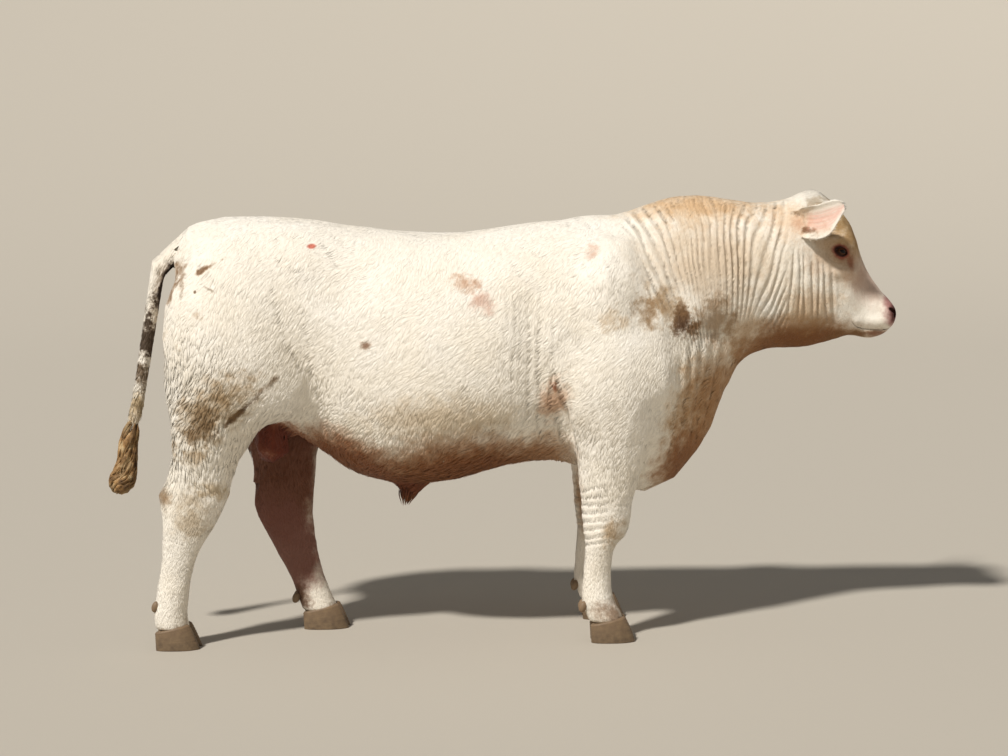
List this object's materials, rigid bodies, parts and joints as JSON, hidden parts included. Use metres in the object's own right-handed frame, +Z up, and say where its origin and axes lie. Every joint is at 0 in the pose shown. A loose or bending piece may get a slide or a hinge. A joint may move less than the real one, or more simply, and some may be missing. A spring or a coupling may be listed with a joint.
{
  "type": "standing bull",
  "caption": "Life-size still model of a polled, cream-white Charolais bull standing square with the left hind leg a short step forward, ears turned out and the tail hanging.",
  "frame": {"origin": "bottom centre of the bounding box, on the floor under the barrel", "axes": "+X towards the head, +Y towards the animal's left side, +Z up"},
  "size_m": [2.6358, 0.6869, 1.4619],
  "materials": {
    "coat_cream": "short cream hair over hide, matte",
    "ear_coat": "thin pinkish skin with pale hair, matte",
    "tail_hair": "coarse matted hair, matte",
    "hoof_horn": "dull horn",
    "eye_dark": "wet gloss"
  },
  "bodies": {
    "root": {"barrel": "coat_cream", "chest": "coat_cream", "dewclaw_fore_left_inner": "hoof_horn", "dewclaw_fore_left_outer": "hoof_horn", "dewclaw_fore_right_inner": "hoof_horn", "dewclaw_fore_right_outer": "hoof_horn", "dewclaw_hind_left_inner": "hoof_horn", "dewclaw_hind_left_outer": "hoof_horn", "dewclaw_hind_right_inner": "hoof_horn", "dewclaw_hind_right_outer": "hoof_horn", "ear_left": "ear_coat", "ear_right": "ear_coat", "eye_left": "eye_dark", "eye_right": "eye_dark", "head": "coat_cream", "hindquarters": "coat_cream", "hoof_fore_left_inner": "hoof_horn", "hoof_fore_left_outer": "hoof_horn", "hoof_fore_right_inner": "hoof_horn", "hoof_fore_right_outer": "hoof_horn", "hoof_hind_left_inner": "hoof_horn", "hoof_hind_left_outer": "hoof_horn", "hoof_hind_right_inner": "hoof_horn", "hoof_hind_right_outer": "hoof_horn", "lower_leg_fore_left": "coat_cream", "lower_leg_fore_right": "coat_cream", "lower_leg_hind_left": "coat_cream", "lower_leg_hind_right": "coat_cream", "neck": "coat_cream", "scrotum": "coat_cream", "sheath": "coat_cream", "tail_1": "coat_cream", "tail_2": "coat_cream", "tail_3": "coat_cream", "tail_switch": "tail_hair", "upper_leg_fore_left": "coat_cream", "upper_leg_fore_right": "coat_cream", "upper_leg_hind_left": "coat_cream", "upper_leg_hind_right": "coat_cream"}
  },
  "joints": []
}
